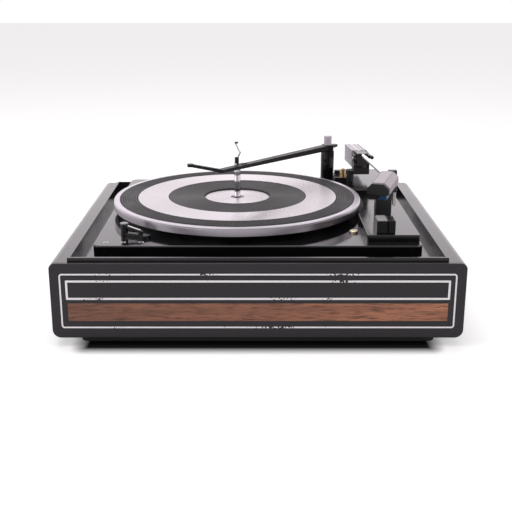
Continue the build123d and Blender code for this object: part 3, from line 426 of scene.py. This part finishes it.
def walnut_finish():
    """Straight grained walnut along X."""
    material, tree, shader = new_material("walnut_print")
    place = add(tree, "ShaderNodeTexCoord").outputs["Object"]
    fibre_place = add(tree, "ShaderNodeMapping", {"Vector": place, "Scale": (0.035, 1.0, 1.0)}).outputs[0]
    fibres = add(tree, "ShaderNodeTexNoise", {
        "Vector": fibre_place, "Scale": 1400.0, "Detail": 6.0, "Roughness": 0.65,
    }).outputs[0]
    figure_place = add(tree, "ShaderNodeMapping", {"Vector": place, "Scale": (0.09, 1.0, 1.0)}).outputs[0]
    figure = add(tree, "ShaderNodeTexNoise", {
        "Vector": figure_place, "Scale": 700.0, "Detail": 6.0, "Roughness": 0.66, "Distortion": 0.3,
    }).outputs[0]
    broad = add(tree, "ShaderNodeTexNoise", {
        "Vector": figure_place, "Scale": 150.0, "Detail": 3.0,
    }).outputs[0]
    across = add(tree, "ShaderNodeSeparateXYZ", {0: place}).outputs[0]
    paler = ramp(tree, across, -WALNUT_HALF, WALNUT_HALF)
    colour = blend_colours(tree, paler, WALNUT_LEFT, WALNUT_RIGHT)
    colour = blend_colours(tree, ramp(tree, broad, 0.35, 0.65, 0.0, 0.55), colour, WALNUT_PATCH)
    colour = blend_colours(tree, ramp(tree, figure, 0.46, 0.66, 0.0, 0.85), colour, WALNUT_STREAK)
    colour = blend_colours(tree, ramp(tree, fibres, 0.45, 0.7, 0.0, 0.4), colour, WALNUT_FIBRE)
    fill(tree, shader.inputs["Base Color"], colour)
    fill(tree, shader.inputs["Roughness"], ramp(tree, fibres, 0.3, 0.7, 0.34, 0.5))
    emboss(tree, shader, fibres, FIBRE_DEPTH)
    return material


wear(walnut_finish(), "walnut_strip")

# %% [markdown]
# The bright lines on the front are hot-stamped foil. Foil wears off in little chips and leaves the black
# plastic bare. A sharp mask of fine noise times broad noise swaps the foil's colour, metal and shine for
# the plastic's, so that the chips lie in groups.


# %% Stamped foil
FOIL_METAL = 0.15
FOIL_BRIGHT = (1.0, 0.98, 0.99, 1.0)
BARE_PLASTIC = (0.02, 0.02, 0.02, 1.0)


def foil_finish(name, wear_low, wear_high):
    """Bright foil with worn-off chips."""
    material, tree, shader = new_material(name)
    place = add(tree, "ShaderNodeTexCoord").outputs["Object"]
    chips = add(tree, "ShaderNodeTexNoise", {"Vector": place, "Scale": 520.0, "Detail": 4.0}).outputs[0]
    zones = add(tree, "ShaderNodeTexNoise", {"Vector": place, "Scale": 22.0, "Detail": 1.0}).outputs[0]
    worn = ramp(tree, maths(tree, "MULTIPLY", chips, zones), wear_low, wear_high)
    fill(tree, shader.inputs["Base Color"], blend_colours(tree, worn, FOIL_BRIGHT, BARE_PLASTIC))
    shine = maths(tree, "MULTIPLY", worn, -FOIL_METAL)
    fill(tree, shader.inputs["Metallic"], maths(tree, "ADD", shine, FOIL_METAL))
    fill(tree, shader.inputs["Roughness"], ramp(tree, worn, 0.0, 1.0, 0.4, 0.5))
    return material


wear(foil_finish("worn_foil", 0.345, 0.36), "outer_pinstripe")
wear(foil_finish("kept_foil", 0.37, 0.39), "inner_pinstripe")

# %% [markdown]
# The platter carries three rings: a grooved rubber ring at the edge, a spun aluminium ring, and a grooved
# rubber mat round the centre. Their shape follows one rule: a flat ring whose top has evenly spaced
# grooves, so Geometry Nodes is the right tool. A flat grid is rolled into a ring, extruded to its height,
# and only the top's points sink where a groove runs. One tree makes all three; only its numbers differ.


# %% Ring tree
MERGE_DISTANCE = 0.000001
CRISP_ANGLE = math.radians(22.0)


def new_shape_tree(name, inputs):
    """An empty geometry tree with named inputs; returns the tree, its sockets and its output."""
    tree = bpy.data.node_groups.new(name, "GeometryNodeTree")
    tree.interface.new_socket("Geometry", in_out="INPUT", socket_type="NodeSocketGeometry")
    kinds = {int: "NodeSocketInt", float: "NodeSocketFloat", tuple: "NodeSocketVector"}
    for label, default in inputs.items():
        socket = tree.interface.new_socket(label, in_out="INPUT", socket_type=kinds[type(default)])
        socket.default_value = default
    tree.interface.new_socket("Material", in_out="INPUT", socket_type="NodeSocketMaterial")
    tree.interface.new_socket("Geometry", in_out="OUTPUT", socket_type="NodeSocketGeometry")
    return tree, tree.nodes.new("NodeGroupInput").outputs, tree.nodes.new("NodeGroupOutput").inputs


def finish_shape(tree, shape, material, out):
    """Ends a tree in plain geometry with its material."""
    real = add(tree, "GeometryNodeRealizeInstances", {0: shape}).outputs[0]
    dressed = add(tree, "GeometryNodeSetMaterial", {"Geometry": real, "Material": material}).outputs[0]
    fill(tree, out["Geometry"], dressed)


def ring_tree():
    """A flat ring with round grooves in its top."""
    tree, given, out = new_shape_tree("grooved_ring", {
        "Inner Radius": 0.04, "Outer Radius": 0.12, "Bottom": 0.10, "Height": 0.002,
        "Centre": (0.0, 0.0, 0.0), "Grooves": 8, "Groove Depth": 0.0006, "Groove Share": 0.5,
        "Across": 60, "Around": 200,
    })
    grid = add(tree, "GeometryNodeMeshGrid", {
        "Size X": 1.0, "Size Y": 1.0, "Vertices X": given["Across"], "Vertices Y": given["Around"],
    }).outputs[0]
    place = add(tree, "ShaderNodeSeparateXYZ", {0: add(tree, "GeometryNodeInputPosition").outputs[0]})
    share = maths(tree, "ADD", place.outputs[0], 0.5)
    turn = maths(tree, "MULTIPLY", place.outputs[1], 2.0 * math.pi)
    width = maths(tree, "SUBTRACT", given["Outer Radius"], given["Inner Radius"])
    reach = maths(tree, "ADD", given["Inner Radius"], maths(tree, "MULTIPLY", share, width))
    x = maths(tree, "MULTIPLY", reach, maths(tree, "COSINE", turn))
    y = maths(tree, "MULTIPLY", reach, maths(tree, "SINE", turn))
    rolled = add(tree, "ShaderNodeCombineXYZ", {0: x, 1: y, 2: given["Bottom"]}).outputs[0]
    moved = add(tree, "ShaderNodeVectorMath", {0: rolled, 1: given["Centre"]}, operation="ADD").outputs[0]
    flat = add(tree, "GeometryNodeSetPosition", {"Geometry": grid, "Position": moved}).outputs[0]
    raised = add(tree, "GeometryNodeExtrudeMesh", {
        "Mesh": flat, "Offset": (0.0, 0.0, 1.0), "Offset Scale": given["Height"], "Individual": False,
    })
    from_centre = add(tree, "ShaderNodeVectorMath", {
        0: add(tree, "GeometryNodeInputPosition").outputs[0], 1: given["Centre"],
    }, operation="SUBTRACT").outputs[0]
    level = add(tree, "ShaderNodeVectorMath", {
        0: from_centre, 1: (1.0, 1.0, 0.0),
    }, operation="MULTIPLY").outputs[0]
    distance = add(tree, "ShaderNodeVectorMath", {0: level}, operation="LENGTH").outputs["Value"]
    part = maths(tree, "DIVIDE", maths(tree, "SUBTRACT", distance, given["Inner Radius"]), width)
    cycle = maths(tree, "FRACT", maths(tree, "MULTIPLY", part, given["Grooves"]))
    middle = maths(tree, "ABSOLUTE", maths(tree, "SUBTRACT", cycle, 0.5))
    slope = maths(tree, "DIVIDE", middle, maths(tree, "MULTIPLY", given["Groove Share"], 0.5))
    sunk = maths(tree, "SUBTRACT", 1.0, slope, clamp=True)
    drop = maths(tree, "MULTIPLY", maths(tree, "MULTIPLY", sunk, given["Groove Depth"]), -1.0)
    offset = add(tree, "ShaderNodeCombineXYZ", {2: drop}).outputs[0]
    grooved = add(tree, "GeometryNodeSetPosition", {
        "Geometry": raised.outputs["Mesh"], "Selection": raised.outputs["Top"], "Offset": offset,
    }).outputs[0]
    underside = add(tree, "GeometryNodeFlipFaces", {"Mesh": flat}).outputs[0]
    both = tree.nodes.new("GeometryNodeJoinGeometry")
    fill(tree, both.inputs[0], grooved)
    fill(tree, both.inputs[0], underside)
    closed = add(tree, "GeometryNodeMergeByDistance", {
        "Geometry": both.outputs[0], "Distance": MERGE_DISTANCE,
    }).outputs[0]
    smooth = add(tree, "GeometryNodeSetShadeSmooth", {"Geometry": closed, "Shade Smooth": True}).outputs[0]
    bend = add(tree, "GeometryNodeInputMeshEdgeAngle").outputs["Unsigned Angle"]
    crisp = add(tree, "FunctionNodeCompare", {"A": bend, "B": CRISP_ANGLE}).outputs[0]
    edged = add(tree, "GeometryNodeSetShadeSmooth", {
        "Geometry": smooth, "Selection": crisp, "Shade Smooth": False,
    }, domain="EDGE").outputs[0]
    finish_shape(tree, edged, given["Material"], out)
    return tree


def grow(name, tree, values, material):
    """Runs a geometry tree once and keeps its result as a plain mesh at the origin."""
    seed = bpy.data.meshes.new(name + "_seed")
    holder = bpy.data.objects.new(name + "_seed", seed)
    bpy.context.scene.collection.objects.link(holder)
    modifier = holder.modifiers.new("shape", "NODES")
    modifier.node_group = tree
    for item in tree.interface.items_tree:
        if item.in_out == "INPUT" and item.name in values:
            modifier[item.identifier] = values[item.name]
        if item.in_out == "INPUT" and item.name == "Material":
            modifier[item.identifier] = material
    evaluated = holder.evaluated_get(bpy.context.evaluated_depsgraph_get())
    mesh = bpy.data.meshes.new_from_object(evaluated)
    bpy.data.objects.remove(holder)
    mesh.name = name
    made = bpy.data.objects.new(name, mesh)
    bpy.context.scene.collection.objects.link(made)
    print(name, "faces:", len(mesh.polygons))
    return made


# %% [markdown]
# The rubber is a dull charcoal that has gone a little grey in patches, where sleeves and hands rub it.
# The turned lines group serves here too, because the mat was moulded in a turned tool. Its fine rings
# pull the colour towards a fixed dark grey, which is painted shade for the fine grooves.


# %% Rings on the platter
RUBBER_TINT = (1.0, 0.97, 1.0)
RUBBED_TINT = (1.6, 1.55, 1.6)
GROOVE_PAINTED_SHADE = (0.02, 0.02, 0.021, 1.0)
MAT_GRAIN_DEPTH = 0.25


def mat_rubber(name, shade, rough):
    """Charcoal rubber, paler where it is rubbed; the shade makes the whole mat lighter or darker."""
    material, tree, shader = new_material(name)
    line = place_group(tree, turned, Lines_Per_Metre=900.0)["Lines"]
    marked = place_group(tree, marks, Patch_Scale=45.0)["Marks"]
    ground = tuple(shade * share for share in RUBBER_TINT) + (1.0,)
    paler = tuple(shade * share for share in RUBBED_TINT) + (1.0,)
    rubbed = blend_colours(tree, marked, ground, paler)
    # Fine turned rings pull the colour towards a fixed dark grey: painted shade for fine grooves.
    groove_shaded = blend_colours(tree, ramp(tree, line, 0.45, 0.7, 0.0, 0.3), rubbed, GROOVE_PAINTED_SHADE)
    settled = place_group(tree, dust, Colour=groove_shaded, Amount=shade * 2.0, Scale=160.0)
    fill(tree, shader.inputs["Base Color"], settled["Colour"])
    fill(tree, shader.inputs["Roughness"], ramp(tree, marked, 0.0, 1.0, rough, rough + 0.1))
    shader.inputs["Specular IOR Level"].default_value = 0.3
    emboss(tree, shader, place_group(tree, grain, Scale=1800.0)["Height"], MAT_GRAIN_DEPTH)
    return material


MAT_BOTTOM = 0.1046
RING_SIDES = 240
# Each ring has its CAD node, inner radius, outer radius, height, grooves, their depth, the share of the
# pitch that a groove takes, and the points across.
RINGS = {
    "outer_mat": ("outer_mat_ring", 0.1097, 0.1302, 0.0026, 8, 0.0009, 0.6, 66),
    "spun_ring": ("aluminium_ring", 0.0766, 0.1097, 0.0027, 1, 0.0, 0.5, 8),
    "centre_mat": ("inner_mat_ring", 0.0368, 0.0766, 0.0023, 15, 0.0008, 0.6, 122),
}
ring_shape = ring_tree()
RING_FINISH = {
    "outer_mat": mat_rubber("outer_mat_rubber", 0.012, 0.46),
    "spun_ring": ring_metal,
    "centre_mat": mat_rubber("centre_mat_rubber", 0.042, 0.5),
}
for name, (node, inner, outer, height, grooves, depth, groove_share, across) in RINGS.items():
    ring = grow(name, ring_shape, {
        "Inner Radius": inner, "Outer Radius": outer, "Bottom": MAT_BOTTOM, "Height": height,
        "Centre": (*SPINDLE_PLACE, 0.0), "Grooves": grooves, "Groove Depth": depth,
        "Groove Share": groove_share, "Across": across, "Around": RING_SIDES,
    }, RING_FINISH[name])
    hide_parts(node)
    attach(ring, "platter")

# %% [markdown]
# The speed figures on the deck are printed in white. Text objects are the natural choice. They are turned
# into meshes before their place is applied, and they lie a hair above the enamel so that the two
# faces don't fight.


# %% Speed figures
FIGURE_SIZE = 0.0062
INK_THICKNESS = 0.00004
DECK_FACE = 0.09106
FIGURE_Y = -0.1284
FIGURES = {"78": -0.1499, "45": -0.1327, "33": -0.1150}


def figure(text, x, material):
    """One flat printed number on the deck."""
    words = bpy.data.curves.new("figure_" + text, "FONT")
    words.body = text
    words.size = FIGURE_SIZE
    words.align_x = "CENTER"
    words.align_y = "CENTER"
    words.extrude = INK_THICKNESS
    holder = bpy.data.objects.new("figure_" + text, words)
    bpy.context.scene.collection.objects.link(holder)
    mesh = bpy.data.meshes.new_from_object(holder.evaluated_get(bpy.context.evaluated_depsgraph_get()))
    bpy.data.objects.remove(holder)
    made = bpy.data.objects.new("figure_" + text, mesh)
    bpy.context.scene.collection.objects.link(made)
    for vertex in mesh.vertices:
        vertex.co += Vector((x, FIGURE_Y, DECK_FACE))
    mesh.materials.clear()
    mesh.materials.append(material)
    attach(made, "deck")


print_white = finish("printed_white", (0.75, 0.74, 0.73), 0.45, 0.6, dust_amount=0.1, grain_depth=0.0)
for text, x in FIGURES.items():
    figure(text, x, print_white)
print("figures:", ", ".join(FIGURES))

# %% [markdown]
# The counterweight has a row of bright marks along each upper edge, by which the stylus pressure is set.
# They repeat, so a short Geometry Nodes tree places small bars along a line. The points carry a bar
# each, and Realize Instances turns them into plain geometry.


# %% Pressure marks
def marks_tree():
    """A row of small bars between two points."""
    tree, given, out = new_shape_tree("row_of_bars", {
        "Start": (0.0, 0.0, 0.0), "End": (0.1, 0.0, 0.0), "Count": 10, "Bar Size": (0.001, 0.001, 0.001),
        "Turn": (0.0, 0.0, 0.0),
    })
    line = add(tree, "GeometryNodeMeshLine", {
        "Count": given["Count"], "Start Location": given["Start"], "Offset": given["End"],
    }, mode="END_POINTS").outputs[0]
    bar = add(tree, "GeometryNodeMeshCube", {"Size": given["Bar Size"]}).outputs[0]
    rotation = add(tree, "FunctionNodeEulerToRotation", {0: given["Turn"]}).outputs[0]
    placed = add(tree, "GeometryNodeInstanceOnPoints", {
        "Points": line, "Instance": bar, "Rotation": rotation,
    }).outputs[0]
    finish_shape(tree, placed, given["Material"], out)
    return tree


ARM_PIVOT = Vector((0.124, 0.086, 0.1315))
ARM_HEADING = math.radians(-87.4)
ARM_RISE = math.radians(2.9)
ARM_FORWARD = Vector((
    math.cos(ARM_HEADING) * math.cos(ARM_RISE),
    math.sin(ARM_HEADING) * math.cos(ARM_RISE),
    math.sin(ARM_RISE),
))
ARM_LEFT = Vector((-math.sin(ARM_HEADING), math.cos(ARM_HEADING), 0.0))
ARM_UP = ARM_FORWARD.cross(ARM_LEFT)


def on_arm(forward, left, up):
    """A point given along, across and above the tonearm's tilt axis."""
    return ARM_PIVOT + ARM_FORWARD * forward + ARM_LEFT * left + ARM_UP * up


WEIGHT_ENDS = (-0.0715, -0.0155)
RIB_TOP = 0.00895
MARK_ROWS = {"marks_left": -0.0076, "marks_right": 0.0076}
MARK_COUNT = 18
MARK_SIZE = (0.0011, 0.0018, 0.0003)
bars_shape = marks_tree()
for name, side in MARK_ROWS.items():
    bars = grow(name, bars_shape, {
        "Start": on_arm(WEIGHT_ENDS[0], side, RIB_TOP), "End": on_arm(WEIGHT_ENDS[1], side, RIB_TOP),
        "Count": MARK_COUNT, "Bar Size": MARK_SIZE, "Turn": (0.0, -ARM_RISE, ARM_HEADING),
    }, chrome)
    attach(bars, "counterweight")

# %% [markdown]
# The studio is a white floor under a bright sky, as in a light tent. The floor stays pale in the camera
# but keeps the shadow. Close round the base almost no light reaches it, and a dark patch with a soft edge
# in the floor's own material deepens that contact shadow, as the picture has it. Light Path lets the
# camera and the gloss see a bright sky, and the gloss sees it brighter behind and at the sides than in
# front, while the light that falls on the object stays moderate.

# %% Floor
FLOOR_HALF = 6.0
FLOOR_ROUGH = 0.7
FLOOR_LIFT = 0.42
FLOOR_PALE = (0.82, 0.82, 0.82, 1.0)
FLOOR_SHADOWED = (0.02, 0.019, 0.02, 1.0)
SHADOW_HALF = (0.164, 0.172)
SHADOW_MIDDLE = (0.0, -0.006)
SHADOW_SOFT = (0.0, 0.017)

floor_mesh = bpy.data.meshes.new("floor")
floor_corners = [(x * FLOOR_HALF, y * FLOOR_HALF, 0) for x, y in ((-1, -1), (1, -1), (1, 1), (-1, 1))]
floor_mesh.from_pydata(floor_corners, [], [(0, 1, 2, 3)])
floor = bpy.data.objects.new("floor", floor_mesh)
bpy.context.scene.collection.objects.link(floor)
floor_material, floor_tree, floor_shader = new_material("white_floor")
floor_shader.inputs["Roughness"].default_value = FLOOR_ROUGH
floor_shader.inputs["Specular IOR Level"].default_value = 0.0
floor_shader.inputs["Emission Color"].default_value = (1.0, 1.0, 1.0, 1.0)
floor_path = floor_tree.nodes.new("ShaderNodeLightPath")
floor_place = add(floor_tree, "ShaderNodeSeparateXYZ", {
    0: add(floor_tree, "ShaderNodeTexCoord").outputs["Object"],
})
outside = []
for place, half, middle in zip(floor_place.outputs, SHADOW_HALF, SHADOW_MIDDLE):
    from_middle = maths(floor_tree, "ABSOLUTE", maths(floor_tree, "SUBTRACT", place, middle))
    beyond = maths(floor_tree, "MAXIMUM", maths(floor_tree, "SUBTRACT", from_middle, half), 0.0)
    outside.append(maths(floor_tree, "MULTIPLY", beyond, beyond))
away = maths(floor_tree, "SQRT", maths(floor_tree, "ADD", *outside))
open_floor = ramp(floor_tree, away, *SHADOW_SOFT)
floor_colour = blend_colours(floor_tree, open_floor, FLOOR_SHADOWED, FLOOR_PALE)
fill(floor_tree, floor_shader.inputs["Base Color"], floor_colour)
floor_seen = maths(floor_tree, "MULTIPLY", floor_path.outputs["Is Camera Ray"], open_floor)
floor_glow = maths(floor_tree, "MULTIPLY", floor_seen, FLOOR_LIFT)
fill(floor_tree, floor_shader.inputs["Emission Strength"], floor_glow)
floor_mesh.materials.append(floor_material)

# %% Sky
SKY_LIGHT = 0.55
FRONT_MIRRORED = 0.45
BACK_MIRRORED = 1.5
BEHIND = (-0.2, 0.8)
SIDES_LESS = 0.1
GLOSS_TINT = (1.0, 0.95, 0.985, 1.0)
WHITE = (1.0, 1.0, 1.0, 1.0)

world = bpy.data.worlds.new("light_tent")
world.use_nodes = True
bpy.context.scene.world = world
sky = world.node_tree
sky_path = sky.nodes.new("ShaderNodeLightPath")
sky_place = add(sky, "ShaderNodeSeparateXYZ", {0: sky.nodes.new("ShaderNodeTexCoord").outputs["Generated"]})
sideways = maths(sky, "SUBTRACT", maths(sky, "ABSOLUTE", sky_place.outputs[0]), SIDES_LESS)
behind = maths(sky, "MAXIMUM", sky_place.outputs[1], sideways)
mirrored = ramp(sky, behind, *BEHIND, FRONT_MIRRORED, BACK_MIRRORED)
glossy_ray = sky_path.outputs["Is Glossy Ray"]
sky_glossy = maths(sky, "MAXIMUM", glossy_ray, sky_path.outputs["Is Transmission Ray"])
extra = maths(sky, "MULTIPLY", sky_glossy, maths(sky, "SUBTRACT", mirrored, SKY_LIGHT))
lit = maths(sky, "ADD", SKY_LIGHT, extra)
seen = sky_path.outputs["Is Camera Ray"]
sky_background = sky.nodes["Background"]
fill(sky, sky_background.inputs["Color"], blend_colours(sky, seen, GLOSS_TINT, WHITE))
fill(sky, sky_background.inputs["Strength"], maths(sky, "MAXIMUM", lit, seen))


# %% Soft boxes
LIGHT_TARGET = Vector((0.0, 0.0, 0.1))
SOFT_BOXES = {
    "top_box": ((-0.2, 0.1, 1.5), 1.3, 1.0, 9.0),
    "left_box": ((-1.5, -0.5, 0.8), 0.8, 0.9, 4.0),
    "right_box": ((1.4, -0.4, 0.9), 0.7, 0.9, 3.0),
}


def soft_box(name, place, width, depth, power):
    """A rectangular area light that looks at the middle of the object."""
    data = bpy.data.lights.new(name, "AREA")
    data.shape = "RECTANGLE"
    data.size = width
    data.size_y = depth
    data.energy = power
    lamp = bpy.data.objects.new(name, data)
    lamp.location = place
    lamp.rotation_euler = (LIGHT_TARGET - Vector(place)).to_track_quat("-Z", "Y").to_euler()
    lamp.visible_camera = False
    bpy.context.scene.collection.objects.link(lamp)


for name, (place, width, depth, power) in SOFT_BOXES.items():
    soft_box(name, place, width, depth, power)

# %% [markdown]
# The view transform is set to Standard, so that a colour renders as it was mixed.

# %% View transform
bpy.context.scene.view_settings.view_transform = "Standard"
